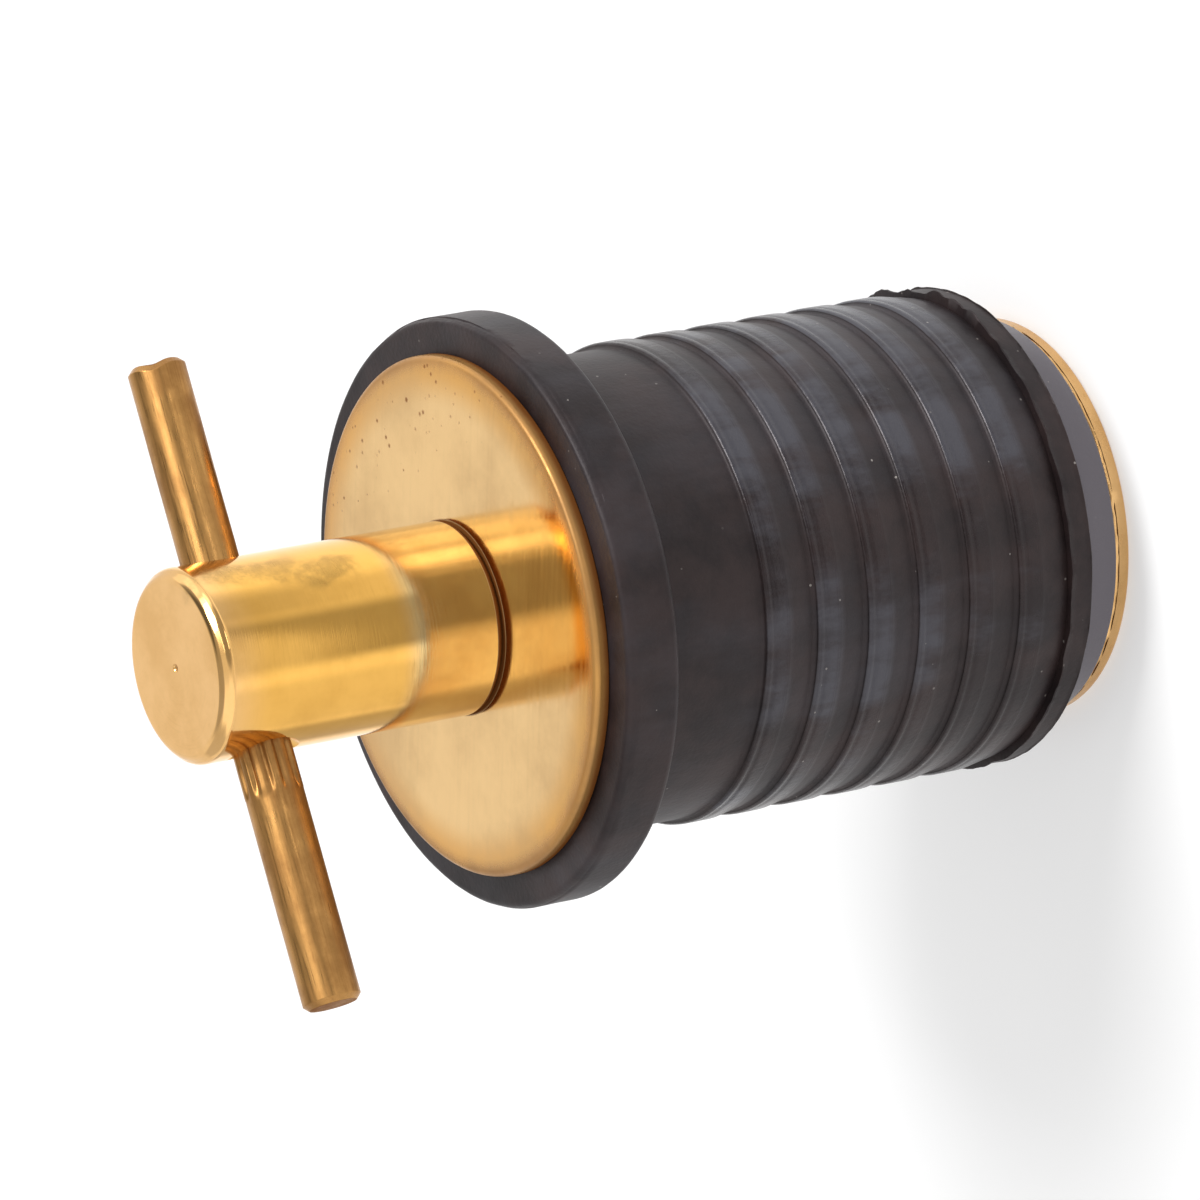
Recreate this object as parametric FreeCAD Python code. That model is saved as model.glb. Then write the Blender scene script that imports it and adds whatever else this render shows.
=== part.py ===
import FreeCAD, Part

import math
import os

from FreeCAD import Vector

# Expanding drain plug with a T handle, for the drain tube in a boat's transom.
# A ribbed rubber bung is held between a brass washer and a smaller brass plate.
# A stud riveted into the plate runs up through the bung into the tapped handle barrel.
# Turning the handle draws the washer towards the plate, and the bung bulges in its tube.
# Millimetres. Z runs up the plug's axis from the outer face of the rear plate.
# The handle's cross pin lies along X.

# Stud: quarter-inch coarse thread, 20 turns to the inch, drawn here as its plain envelope.
STUD_D = 6.35
STUD_ENGAGED_L = 7.2
STUD_TIP_CHAMFER = 0.6
STUD_RIVET_D = 8.6
STUD_RIVET_T = 0.7

# Rear plate, the disc on the end that goes into the boat.
PLATE_D = 26.6
PLATE_T = 1.2
PLATE_EDGE_CHAMFER = 0.3

# Rubber bung, from its tail at the rear plate up to its flange.
TAIL_OVERHANG = 0.2
TAIL_L = 3.6
TAIL_TAPER = 0.3
CREST_D = 31.8
RIB_COUNT = 7
RIB_PITCH = 3.9
RIB_LAND = 1.7
RIB_DEPTH = 0.4
NECK_L = 8.7
FLANGE_D = 38.7
FLANGE_T = 3.9
FLANGE_EDGE_CHAMFER = 0.45
FLANGE_ROOT_CHAMFER = 0.4

# Front washer, the disc under the handle.
WASHER_D = 34.0
WASHER_T = 1.2
WASHER_EDGE_CHAMFER = 0.45

# Handle barrel, turned from half-inch rod and tapped from its base.
BARREL_D = 12.7
BARREL_L = 20.6
BARREL_TOP_CHAMFER = 0.6
BARREL_BASE_CHAMFER = 0.4
BORE_END_GAP = 0.6
BORE_MOUTH_CHAMFER = 0.4
DRILL_POINT_DEG = 118.0
CENTRE_MARK_D = 0.6
CENTRE_MARK_DEPTH = 0.3

# Cross pin, pressed through the barrel a little off its middle.
PIN_D = 3.8
PIN_L = 42.8
PIN_OFFSET = -1.75
PIN_FROM_TOP = 4.45
PIN_END_CHAMFER = 0.35
PIN_HOLE_FLARE = 0.55

# Rolled splines round the middle of the cross pin, which grip the barrel.
SPLINE_COUNT = 12
SPLINE_L = 15.0
SPLINE_RISE = 0.05
SPLINE_GROOVE_W = 0.62
SPLINE_FLOOR_W = 0.1
SPLINE_GROOVE_DEPTH = 0.22
SPLINE_RUNOUT_L = 0.9

# Travel of the washer from relaxed to fully tightened, and the clearances of the fits.
TRAVEL = 3.81
THREAD_CLEARANCE = 0.05
WASHER_CLEARANCE = 0.1
BUNG_CLEARANCE = 0.15
PIN_INTERFERENCE = 0.02

# Heights that follow from the stack of pieces.
TAIL_Z = PLATE_T
LAST_RIB_Z = TAIL_Z + TAIL_L
NECK_Z = LAST_RIB_Z + RIB_LAND + (RIB_COUNT - 1) * RIB_PITCH
FLANGE_Z = NECK_Z + NECK_L
WASHER_Z = FLANGE_Z + FLANGE_T
BARREL_Z = WASHER_Z + WASHER_T
BARREL_TOP_Z = BARREL_Z + BARREL_L
PIN_Z = BARREL_TOP_Z - PIN_FROM_TOP
STUD_TOP_Z = BARREL_Z + STUD_ENGAGED_L

Z_AXIS = Vector(0, 0, 1)
X_AXIS = Vector(1, 0, 0)


def revolved(outline):
    """Turn a closed outline of (radius, height) points once round the Z axis."""
    points = [Vector(radius, 0, height) for radius, height in outline]
    wire = Part.makePolygon(points + points[:1])
    return Part.Face(wire).revolve(Vector(0, 0, 0), Z_AXIS, 360)


def turned_about_x(outline):
    """Turn a closed outline of (place along X, radius) points once round the X axis."""
    points = [Vector(along, 0, radius) for along, radius in outline]
    wire = Part.makePolygon(points + points[:1])
    return Part.Face(wire).revolve(Vector(0, 0, 0), X_AXIS, 360)


def make_rear_plate():
    """Stamped disc, countersunk outside for the riveted end of the stud."""
    outer = PLATE_D / 2
    hole = STUD_D / 2
    sink = STUD_RIVET_D / 2
    return revolved([
        (sink, 0),
        (outer - PLATE_EDGE_CHAMFER, 0),
        (outer, PLATE_EDGE_CHAMFER),
        (outer, PLATE_T - PLATE_EDGE_CHAMFER),
        (outer - PLATE_EDGE_CHAMFER, PLATE_T),
        (hole, PLATE_T),
        (hole, STUD_RIVET_T),
    ])


def make_threaded_stud():
    """Stud with its lower end spread flush into the plate and its tip chamfered."""
    shank = STUD_D / 2
    return revolved([
        (0, 0),
        (STUD_RIVET_D / 2, 0),
        (shank, STUD_RIVET_T),
        (shank, STUD_TOP_Z - STUD_TIP_CHAMFER),
        (shank - STUD_TIP_CHAMFER, STUD_TOP_Z),
        (0, STUD_TOP_Z),
    ])


def rib_outline(index):
    """Outline of one sawtooth rib, counted up from the tail.

    The land is the flat crest. Above it stands the sharp step that faces the handle.
    Below the land, every rib but the lowest slopes in to the root of the next one.
    """
    crest = CREST_D / 2
    root = crest - RIB_DEPTH
    step_z = LAST_RIB_Z + RIB_LAND + index * RIB_PITCH
    corners = [(crest, step_z - RIB_LAND), (crest, step_z), (root, step_z)]
    return corners


def make_rubber_bung():
    """One moulding: tail, sawtooth ribs, plain neck and flange, bored for the stud."""
    bore = STUD_D / 2 + BUNG_CLEARANCE
    neck = CREST_D / 2 - RIB_DEPTH
    tail = PLATE_D / 2 + TAIL_OVERHANG
    flange = FLANGE_D / 2
    outline = [(bore, TAIL_Z), (tail, TAIL_Z), (tail + TAIL_TAPER, LAST_RIB_Z)]
    for index in range(RIB_COUNT):
        outline += rib_outline(index)
    outline += [
        (neck, FLANGE_Z - FLANGE_ROOT_CHAMFER),
        (neck + FLANGE_ROOT_CHAMFER, FLANGE_Z),
        (flange - FLANGE_EDGE_CHAMFER, FLANGE_Z),
        (flange, FLANGE_Z + FLANGE_EDGE_CHAMFER),
        (flange, WASHER_Z - FLANGE_EDGE_CHAMFER),
        (flange - FLANGE_EDGE_CHAMFER, WASHER_Z),
        (bore, WASHER_Z),
    ]
    return revolved(outline)


def make_front_washer():
    """Stamped disc that slides on the stud, eased at its outer front edge."""
    outer = WASHER_D / 2
    hole = STUD_D / 2 + WASHER_CLEARANCE
    return revolved([
        (hole, WASHER_Z),
        (outer, WASHER_Z),
        (outer, BARREL_Z - WASHER_EDGE_CHAMFER),
        (outer - WASHER_EDGE_CHAMFER, BARREL_Z),
        (hole, BARREL_Z),
    ])


def make_handle_barrel():
    """Turned barrel with a blind tapped bore below and a flared cross hole above."""
    outer = BARREL_D / 2
    bore = STUD_D / 2 + THREAD_CLEARANCE
    bore_end_z = STUD_TOP_Z + TRAVEL + BORE_END_GAP
    point_z = bore_end_z + bore / math.tan(math.radians(DRILL_POINT_DEG / 2))
    barrel = revolved([
        (0, point_z),
        (bore, bore_end_z),
        (bore, BARREL_Z + BORE_MOUTH_CHAMFER),
        (bore + BORE_MOUTH_CHAMFER, BARREL_Z),
        (outer - BARREL_BASE_CHAMFER, BARREL_Z),
        (outer, BARREL_Z + BARREL_BASE_CHAMFER),
        (outer, BARREL_TOP_Z - BARREL_TOP_CHAMFER),
        (outer - BARREL_TOP_CHAMFER, BARREL_TOP_Z),
        (CENTRE_MARK_D / 2, BARREL_TOP_Z),
        (0, BARREL_TOP_Z - CENTRE_MARK_DEPTH),
    ])
    hole = PIN_D / 2 + SPLINE_RISE - PIN_INTERFERENCE
    edge = outer - PIN_HOLE_FLARE
    flared = hole + PIN_HOLE_FLARE
    hourglass = turned_about_x([
        (-outer, 0),
        (-outer, flared),
        (-edge, hole),
        (edge, hole),
        (outer, flared),
        (outer, 0),
    ])
    hourglass.translate(Vector(0, 0, PIN_Z))
    return barrel.cut(hourglass)


def make_spline_cutter():
    """Cutter of one rolled groove: a long V with a narrow floor that rises at both ends."""
    half = SPLINE_L / 2
    ridge = PIN_D / 2 + SPLINE_RISE
    run = half - SPLINE_RUNOUT_L
    side = SPLINE_GROOVE_W / 2
    floor = SPLINE_FLOOR_W / 2
    top = -ridge - SPLINE_RISE
    bottom = -ridge + SPLINE_GROOVE_DEPTH
    return Part.makeWedge(-half, top, -side, -floor, -run, half, bottom, side, floor, run)


def make_cross_pin():
    """Straight rod with chamfered ends and a band of rolled splines round its middle."""
    radius = PIN_D / 2
    ridge = radius + SPLINE_RISE
    half = PIN_L / 2
    band = SPLINE_L / 2
    pin = turned_about_x([
        (-half, 0),
        (-half, radius - PIN_END_CHAMFER),
        (-half + PIN_END_CHAMFER, radius),
        (-band, radius),
        (-band + SPLINE_RISE, ridge),
        (band - SPLINE_RISE, ridge),
        (band, radius),
        (half - PIN_END_CHAMFER, radius),
        (half, radius - PIN_END_CHAMFER),
        (half, 0),
    ])
    cutters = []
    for index in range(SPLINE_COUNT):
        cutter = make_spline_cutter()
        cutter.rotate(Vector(0, 0, 0), X_AXIS, index * 360 / SPLINE_COUNT)
        cutters.append(cutter)
    pin = pin.cut(cutters)
    pin.translate(Vector(PIN_OFFSET, 0, PIN_Z))
    return pin


NODES = {
    "rear_plate": make_rear_plate,
    "threaded_stud": make_threaded_stud,
    "rubber_bung": make_rubber_bung,
    "front_washer": make_front_washer,
    "handle_barrel": make_handle_barrel,
    "cross_pin": make_cross_pin,
}

os.makedirs("parts", exist_ok=True)
for name, make in NODES.items():
    shape = make()
    if len(shape.Solids) == 1:
        shape = shape.Solids[0]
    shape.exportStep("parts/" + name + ".step")
    box = shape.BoundBox
    print(name, shape.isValid(), "volume", round(shape.Volume, 1), "z", round(box.ZMin, 2), round(box.ZMax, 2))
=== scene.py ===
"""Looks of an expanding boat drain plug: brass T handle, washer and plate on a ribbed rubber bung.

The plug stands on its rear plate. Z runs up its axis to the handle, and the cross pin lies along X.
Sizes are named in millimetres, and every mesh is made in metres in the frame's own place.
"""

import logging
import math
from collections.abc import Sequence
from dataclasses import dataclass
from enum import Enum

import bmesh
import bpy
from mathutils import Matrix, Vector

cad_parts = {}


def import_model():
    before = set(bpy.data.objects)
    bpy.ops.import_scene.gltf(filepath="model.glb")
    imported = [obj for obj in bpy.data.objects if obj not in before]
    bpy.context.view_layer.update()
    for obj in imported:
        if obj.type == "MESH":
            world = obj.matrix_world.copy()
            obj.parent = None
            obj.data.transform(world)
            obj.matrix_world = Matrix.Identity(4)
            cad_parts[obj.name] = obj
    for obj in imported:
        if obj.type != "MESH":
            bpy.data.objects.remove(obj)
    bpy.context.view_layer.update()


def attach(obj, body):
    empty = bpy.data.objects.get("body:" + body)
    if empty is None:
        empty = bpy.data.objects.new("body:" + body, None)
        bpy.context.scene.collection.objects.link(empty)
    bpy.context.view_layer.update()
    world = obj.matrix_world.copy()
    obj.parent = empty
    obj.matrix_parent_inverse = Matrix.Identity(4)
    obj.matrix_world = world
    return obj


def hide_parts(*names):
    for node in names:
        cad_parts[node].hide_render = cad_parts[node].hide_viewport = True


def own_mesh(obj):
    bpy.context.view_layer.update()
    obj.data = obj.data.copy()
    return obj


LOG = logging.getLogger("drain_plug")
MM = 0.001

Corner = tuple[float, float, float]
Point = tuple[float, float]
Range = tuple[float, float]
Places = tuple[float, float, float, float]
Colour = tuple[float, float, float, float]
Socket = bpy.types.NodeSocket

# Where a guard point stands off an arc's end, in millimetres, and the turn of one step, in degrees.
GUARD = 0.03
ARC_STEP = 15.0
# Points nearer than the first, in metres, are one point, and edges shorter than the second vanish.
WELD = 1e-7
SLIVER = 1e-8

# How a common step sets its node: type, inputs in order, output and the setting that is chosen.
MATHS = ("ShaderNodeMath", (0, 1), 0, "operation")
VECTORS = ("ShaderNodeVectorMath", (0, 1, 2), 0, "operation")
MEASURES = ("ShaderNodeVectorMath", (0, 1), "Value", "operation")
RANGES = (
    "ShaderNodeMapRange", ("Value", "From Min", "From Max", "To Min", "To Max"), 0, "interpolation_type",
)
CLOUDS = ("ShaderNodeTexNoise", ("Vector", "Scale", "Detail", "Roughness"), 0, "noise_dimensions")


class Step(Enum):
    """The common steps of a node tree."""

    ADD = (*MATHS, "ADD")
    SUBTRACT = (*MATHS, "SUBTRACT")
    MULTIPLY = (*MATHS, "MULTIPLY")
    DIVIDE = (*MATHS, "DIVIDE")
    MINIMUM = (*MATHS, "MINIMUM")
    MAXIMUM = (*MATHS, "MAXIMUM")
    LESS_THAN = (*MATHS, "LESS_THAN")
    GREATER_THAN = (*MATHS, "GREATER_THAN")
    COSINE = (*MATHS, "COSINE")
    SINE = (*MATHS, "SINE")
    ARCTAN2 = (*MATHS, "ARCTAN2")
    FLOOR = (*MATHS, "FLOOR")
    MODULO = (*MATHS, "MODULO")
    PINGPONG = (*MATHS, "PINGPONG")
    ABSOLUTE = (*MATHS, "ABSOLUTE")
    SQRT = (*MATHS, "SQRT")
    SHIFT = (*VECTORS, "ADD")
    AWAY = (*VECTORS, "SUBTRACT")
    STRETCH = (*VECTORS, "MULTIPLY")
    STRETCH_SHIFT = (*VECTORS, "MULTIPLY_ADD")
    LENGTH = (*MEASURES, "LENGTH")
    DOT = (*MEASURES, "DOT_PRODUCT")
    SMOOTH = (*RANGES, "SMOOTHSTEP")
    STRAIGHT = (*RANGES, "LINEAR")
    NOISE = (*CLOUDS, "3D")
    NOISE_WAYS = ("ShaderNodeTexNoise", ("Vector", "Scale", "Detail"), 1, "noise_dimensions", "3D")
    NOISE_4D = ("ShaderNodeTexNoise", ("Vector", "W", "Scale", "Detail"), 0, "noise_dimensions", "4D")
    MIX = ("ShaderNodeMix", ("Factor", "A", "B"), "Result", "data_type", "RGBA")


def linear(hex_colour: str) -> Colour:
    """Turn an sRGB hex colour into linear RGBA.

    Args:
        hex_colour: six hex digits after a number sign.

    Returns:
        The linear colour with full alpha.
    """
    digits = hex_colour.lstrip("#")
    channels = [int(digits[i:i + 2], 16) / 255.0 for i in (0, 2, 4)]
    made = [c / 12.92 if c <= 0.04045 else ((c + 0.055) / 1.055) ** 2.4 for c in channels]
    return (made[0], made[1], made[2], 1.0)


def per_metre(size_mm: float) -> float:
    """Scale of a pattern whose features are this many millimetres across."""
    return 1.0 / (size_mm * MM)


def linked(data: bpy.types.ID) -> bpy.types.Object:
    """Put a new object of a mesh, light or camera, with its name, into the scene.

    Args:
        data: the mesh, light or camera.

    Returns:
        The new object.
    """
    made = bpy.data.objects.new(data.name, data)
    bpy.context.scene.collection.objects.link(made)
    return made


class TreeBuilder:
    """Fills a node tree, of a shader or of geometry, one node at a time."""

    def __init__(self, tree: bpy.types.NodeTree) -> None:
        """Keep the tree that is being filled."""
        self.tree = tree

    def add(self, kind: str, inputs: dict | None = None, **settings: object) -> bpy.types.Node:
        """Add one node with its settings, values and links.

        Args:
            kind: the node's Blender type name.
            inputs: values or output sockets, by input name or number.
            settings: properties of the node.

        Returns:
            The new node.
        """
        node = self.tree.nodes.new(kind)
        for name, value in settings.items():
            setattr(node, name, value)
        for key, value in (inputs or {}).items():
            if isinstance(value, Socket):
                self.tree.links.new(value, node.inputs[key])
            else:
                node.inputs[key].default_value = value
        return node

    def work(self, step: Step, *values: object, **settings: object) -> Socket:
        """Add a common step, and give its output.

        Args:
            step: the step.
            values: values or output sockets, in the order of the step's inputs.
            settings: further properties of the node.

        Returns:
            The step's output socket.
        """
        kind, inputs, output, setting, choice = step.value
        node = self.add(kind, dict(zip(inputs, values)), **{setting: choice}, **settings)
        return node.outputs[output]

    def between(self, value: Socket, rise: float, full: float, fall: float, end: float) -> Socket:
        """Fade a value in and out again.

        Args:
            value: the value's output socket.
            rise: where it starts to fade in.
            full: where it is fully in.
            fall: where it starts to fade out.
            end: where it is out.

        Returns:
            A value from 0 to 1.
        """
        entering = self.work(Step.SMOOTH, value, rise, full)
        leaving = self.work(Step.SMOOTH, value, fall, end, 1.0, 0.0)
        return self.work(Step.MULTIPLY, entering, leaving)


class MaterialTree(TreeBuilder):
    """Tree of a new material, which starts from the object's own coordinates."""

    def __init__(self, name: str) -> None:
        """Make the material, its empty tree and its coordinates."""
        self.material = bpy.data.materials.new(name)
        self.material.use_nodes = True
        self.material.node_tree.nodes.clear()
        super().__init__(self.material.node_tree)
        self.spot = self.add("ShaderNodeTexCoord").outputs["Object"]

    def finished(self, kind: str, inputs: dict) -> bpy.types.Material:
        """Add the shader and the output.

        Args:
            kind: the shader's Blender type name.
            inputs: its values or output sockets, by name.

        Returns:
            The finished material.
        """
        shader = self.add(kind, inputs)
        self.add("ShaderNodeOutputMaterial", {"Surface": shader.outputs[0]})
        return self.material


def rounded_outline(corners: Sequence[Corner], max_step: float = 1e9) -> list[Point]:
    """Round each corner of an outline with an arc, and divide its long straight runs.

    A point stands just off each end of an arc, so that flat faces beside it shade flat.

    Args:
        corners: radius, height and rounding of each corner, in millimetres.
        max_step: longest straight run between two points, in millimetres.

    Returns:
        The outline's (radius, height) points in millimetres.
    """
    points: list[Point] = []
    for index, (radius, height, rounding) in enumerate(corners):
        here = Vector((radius, height))
        if rounding == 0 or index in (0, len(corners) - 1):
            points.append((radius, height))
            continue
        before = (Vector(corners[index - 1][:2]) - here).normalized()
        after = (Vector(corners[index + 1][:2]) - here).normalized()
        half = before.angle(after) / 2
        reach = rounding / math.tan(half)
        centre = here + (before + after).normalized() * (rounding / math.sin(half))
        start = here + before * reach - centre
        sweep = (math.pi - 2 * half) * math.copysign(1, before.x * after.y - before.y * after.x)
        steps = max(3, round(abs(math.degrees(sweep)) / ARC_STEP))
        points.append(tuple(here + before * (reach + GUARD)))
        for step in range(steps + 1):
            turn = Matrix.Rotation(-sweep * step / steps, 2)
            points.append(tuple(centre + turn @ start))
        points.append(tuple(here + after * (reach + GUARD)))
    spaced = points[:1]
    for first, second in zip(points, points[1:]):
        pieces = max(1, math.ceil(math.dist(first, second) / max_step))
        for step in range(1, pieces + 1):
            spaced.append(tuple(a + (b - a) * (step / pieces) for a, b in zip(first, second)))
    return spaced


@dataclass(frozen=True)
class Surface:
    """What a relief is worked out from: the tree, its inputs, and each vertex's place and weight."""

    nodes: TreeBuilder
    given: bpy.types.bpy_prop_collection
    angle: Socket
    height: Socket
    weight: Socket


class TurnedTree:
    """Geometry Nodes tree that turns an outline once round Z, with a relief on its surface."""

    name = "turned_body"
    sizes: tuple[str, ...] = ()

    def build(self) -> bpy.types.NodeTree:
        """Make the tree with its named inputs.

        Returns:
            The finished geometry tree.
        """
        tree = bpy.data.node_groups.new(self.name, "GeometryNodeTree")
        sockets = [("Outline", "Object"), ("Rows", "Int"), ("Segments", "Int"), ("Seed", "Int")]
        sockets += [(size, "Float") for size in self.sizes]
        sockets.append(("Material", "Material"))
        for label, kind in sockets:
            tree.interface.new_socket(name=label, in_out="INPUT", socket_type="NodeSocket" + kind)
        tree.interface.new_socket(name="Geometry", in_out="OUTPUT", socket_type="NodeSocketGeometry")
        nodes = TreeBuilder(tree)
        given = nodes.add("NodeGroupInput").outputs
        columns = nodes.work(Step.ADD, given["Segments"], 1.0)
        grid = nodes.add("GeometryNodeMeshGrid", {"Vertices X": given["Rows"], "Vertices Y": columns})
        index = nodes.add("GeometryNodeInputIndex").outputs[0]
        row = nodes.work(Step.FLOOR, nodes.work(Step.DIVIDE, index, columns))
        column = nodes.work(Step.MODULO, index, columns)
        share = nodes.work(Step.DIVIDE, column, given["Segments"])
        angle = nodes.work(Step.MULTIPLY, share, math.tau)
        line = nodes.add("GeometryNodeObjectInfo", {"Object": given["Outline"]}).outputs["Geometry"]
        fields = [(nodes.add("GeometryNodeInputPosition").outputs[0], "FLOAT_VECTOR")]
        for name in ("weight", "tone"):
            named = nodes.add("GeometryNodeInputNamedAttribute", {"Name": name})
            fields.append((named.outputs[0], "FLOAT"))
        place, weight, tone = (
            nodes.add("GeometryNodeSampleIndex", {
                "Geometry": line, "Value": field, "Index": row,
            }, data_type=kind).outputs[0]
            for field, kind in fields
        )
        split = nodes.add("ShaderNodeSeparateXYZ", {0: place}).outputs
        radius, height = split["X"], split["Z"]
        relief = self.relief(Surface(nodes, given, angle, height, weight))
        if relief is not None:
            radius = nodes.work(Step.ADD, radius, relief)
        around = nodes.add("ShaderNodeCombineXYZ", {
            "X": nodes.work(Step.MULTIPLY, radius, nodes.work(Step.COSINE, angle)),
            "Y": nodes.work(Step.MULTIPLY, radius, nodes.work(Step.SINE, angle)),
            "Z": height,
        })
        shape = nodes.add("GeometryNodeStoreNamedAttribute", {
            "Geometry": grid.outputs["Mesh"], "Name": "tone", "Value": tone,
        }, data_type="FLOAT", domain="POINT")
        for kind, inputs in (
            ("GeometryNodeSetPosition", {"Position": around.outputs[0]}),
            ("GeometryNodeMergeByDistance", {"Distance": WELD}),
            ("GeometryNodeRealizeInstances", {}),
            ("GeometryNodeSetMaterial", {"Material": given["Material"]}),
            ("NodeGroupOutput", {}),
        ):
            shape = nodes.add(kind, {"Geometry": shape.outputs[0], **inputs})
        return tree

    def relief(self, at: Surface) -> Socket | None:
        """How far the surface stands off the outline; a plain turned body has no relief.

        Args:
            at: what it is worked out from; not used here.

        Returns:
            The radial offset in metres, or nothing.
        """
        return None


class SplinedTree(TurnedTree):
    """Turned rod with straight rolled grooves round a band in its middle."""

    name = "splined_rod"
    sizes = ("Groove Count", "Groove Depth", "Band Half Length", "Run-out")
    # Half a groove's width, as a share of the pitch of the grooves.
    half_width = 0.34

    def relief(self, at: Surface) -> Socket:
        """Sink rounded grooves that fade out at both ends of the band.

        Args:
            at: what it is worked out from.

        Returns:
            The radial offset in metres.
        """
        nodes, given = at.nodes, at.given
        turned = nodes.work(Step.MULTIPLY, at.angle, given["Groove Count"])
        across = nodes.work(Step.PINGPONG, nodes.work(Step.DIVIDE, turned, math.tau), 0.5)
        groove = nodes.work(Step.SMOOTH, across, 0.0, self.half_width, 1.0, 0.0)
        inside = nodes.work(Step.SUBTRACT, given["Band Half Length"], nodes.work(Step.ABSOLUTE, at.height))
        fade = nodes.work(Step.DIVIDE, inside, given["Run-out"], use_clamp=True)
        depth = nodes.work(Step.MULTIPLY, given["Groove Depth"], nodes.work(Step.SQRT, fade))
        return nodes.work(Step.MULTIPLY, nodes.work(Step.MULTIPLY, groove, depth), -1.0)


class ThreadedTree(TurnedTree):
    """Turned stud with a rolled helical thread over the rows that have a weight."""

    name = "threaded_rod"
    sizes = ("Pitch", "Thread Depth")

    def relief(self, at: Surface) -> Socket:
        """Sink the V of the thread, one pitch along for each turn round.

        Args:
            at: what it is worked out from.

        Returns:
            The radial offset in metres.
        """
        nodes, given = at.nodes, at.given
        turns = nodes.work(Step.DIVIDE, at.angle, math.tau)
        along = nodes.work(Step.SUBTRACT, nodes.work(Step.DIVIDE, at.height, given["Pitch"]), turns)
        flank = nodes.work(Step.MULTIPLY, nodes.work(Step.PINGPONG, along, 0.5), 2.0)
        sunk = nodes.work(Step.MULTIPLY, nodes.work(Step.SUBTRACT, flank, 1.0), given["Thread Depth"])
        return nodes.work(Step.MULTIPLY, sunk, at.weight)


class UnevenTree(TurnedTree):
    """Turned body with a slightly uneven skin, and a ragged fin where a row has a weight."""

    name = "uneven_body"
    sizes = ("Skin Depth", "Skin Size", "Flash Height", "Flash Size", "Flash Lean")
    # How the waves shrink along Z, and the noise between which a fin rises to its full height.
    squeeze = 60.0
    torn = (0.36, 0.7)
    # Turn of the side on which the fin is low, in radians, and how low it is there.
    low_side = 0.2
    low_share = 0.6

    def relief(self, at: Surface) -> Socket:
        """Add the waves of the skin and the torn fin of the flash.

        Args:
            at: what it is worked out from.

        Returns:
            The radial offset in metres.
        """
        nodes, given = at.nodes, at.given
        ring = nodes.add("ShaderNodeCombineXYZ", {
            "X": nodes.work(Step.COSINE, at.angle),
            "Y": nodes.work(Step.SINE, at.angle),
            "Z": nodes.work(Step.MULTIPLY, at.height, self.squeeze),
        }).outputs[0]
        waves = nodes.work(Step.NOISE_4D, ring, given["Seed"], given["Skin Size"], 2.0)
        skin = nodes.work(Step.MULTIPLY, nodes.work(Step.SUBTRACT, waves, 0.5), given["Skin Depth"])
        torn = nodes.work(Step.NOISE_4D, ring, given["Seed"], given["Flash Size"], 2.0)
        share = nodes.work(Step.STRAIGHT, torn, *self.torn)
        facing = nodes.work(Step.COSINE, nodes.work(Step.ADD, at.angle, self.low_side))
        away = nodes.work(Step.SMOOTH, facing, 0.5, 1.0, self.low_share, 0.0)
        peak = nodes.work(Step.SUBTRACT, 1.0, nodes.work(Step.MULTIPLY, away, given["Flash Lean"]))
        fin = nodes.work(Step.MULTIPLY, nodes.work(Step.MULTIPLY, share, peak), given["Flash Height"])
        return nodes.work(Step.ADD, skin, nodes.work(Step.MULTIPLY, fin, at.weight))


@dataclass(frozen=True)
class Outline:
    """Points of a turned body's outline, with a relief weight and a tone for each."""

    points: Sequence[Point]
    weights: Sequence[float] = ()
    tones: Sequence[float] = ()

    def mesh(self, name: str) -> bpy.types.Object:
        """Make the outline as a line of vertices that a geometry tree can read.

        Args:
            name: name of the helper object.

        Returns:
            The helper object.
        """
        data = bpy.data.meshes.new(name)
        data.from_pydata([(r * MM, 0.0, z * MM) for r, z in self.points], [], [])
        for label, values in (("weight", self.weights), ("tone", self.tones)):
            layer = data.attributes.new(label, "FLOAT", "POINT")
            layer.data.foreach_set("value", values or [0.0] * len(self.points))
        return linked(data)


@dataclass(frozen=True)
class TurnedBody:
    """A body made by turning an outline round Z."""

    name: str
    outline: Outline
    material: bpy.types.Material
    tree: TurnedTree = TurnedTree()
    segments: int = 256
    seed: int = 7
    values: dict[str, float] | None = None

    def build(self) -> bpy.types.Object:
        """Run the geometry tree and keep its result as a plain mesh.

        Returns:
            The finished object at the origin.
        """
        helper = self.outline.mesh(self.name + "_outline")
        carrier = linked(bpy.data.meshes.new(self.name))
        modifier = carrier.modifiers.new("shape", "NODES")
        modifier.node_group = self.tree.build()
        given = {
            "Outline": helper,
            "Rows": len(self.outline.points),
            "Segments": self.segments,
            "Seed": self.seed,
            "Material": self.material,
            **(self.values or {}),
        }
        for socket in modifier.node_group.interface.items_tree:
            if socket.in_out == "INPUT":
                modifier[socket.identifier] = given[socket.name]
        plain = flattened(carrier)
        bpy.data.objects.remove(helper)
        return plain


def flattened(carrier: bpy.types.Object) -> bpy.types.Object:
    """Turn an object's modifiers into a plain mesh with outward faces.

    Args:
        carrier: object whose modifiers make its shape.

    Returns:
        The same object, now plain.
    """
    bpy.context.view_layer.update()
    evaluated = carrier.evaluated_get(bpy.context.evaluated_depsgraph_get())
    made = bpy.data.meshes.new_from_object(evaluated)
    carrier.modifiers.clear()
    carrier.data = made
    made.name = carrier.name
    work = bmesh.new()
    work.from_mesh(made)
    bmesh.ops.remove_doubles(work, verts=work.verts, dist=WELD)
    bmesh.ops.dissolve_degenerate(work, edges=work.edges, dist=SLIVER)
    bmesh.ops.recalc_face_normals(work, faces=work.faces)
    work.to_mesh(made)
    work.free()
    return carrier


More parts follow.
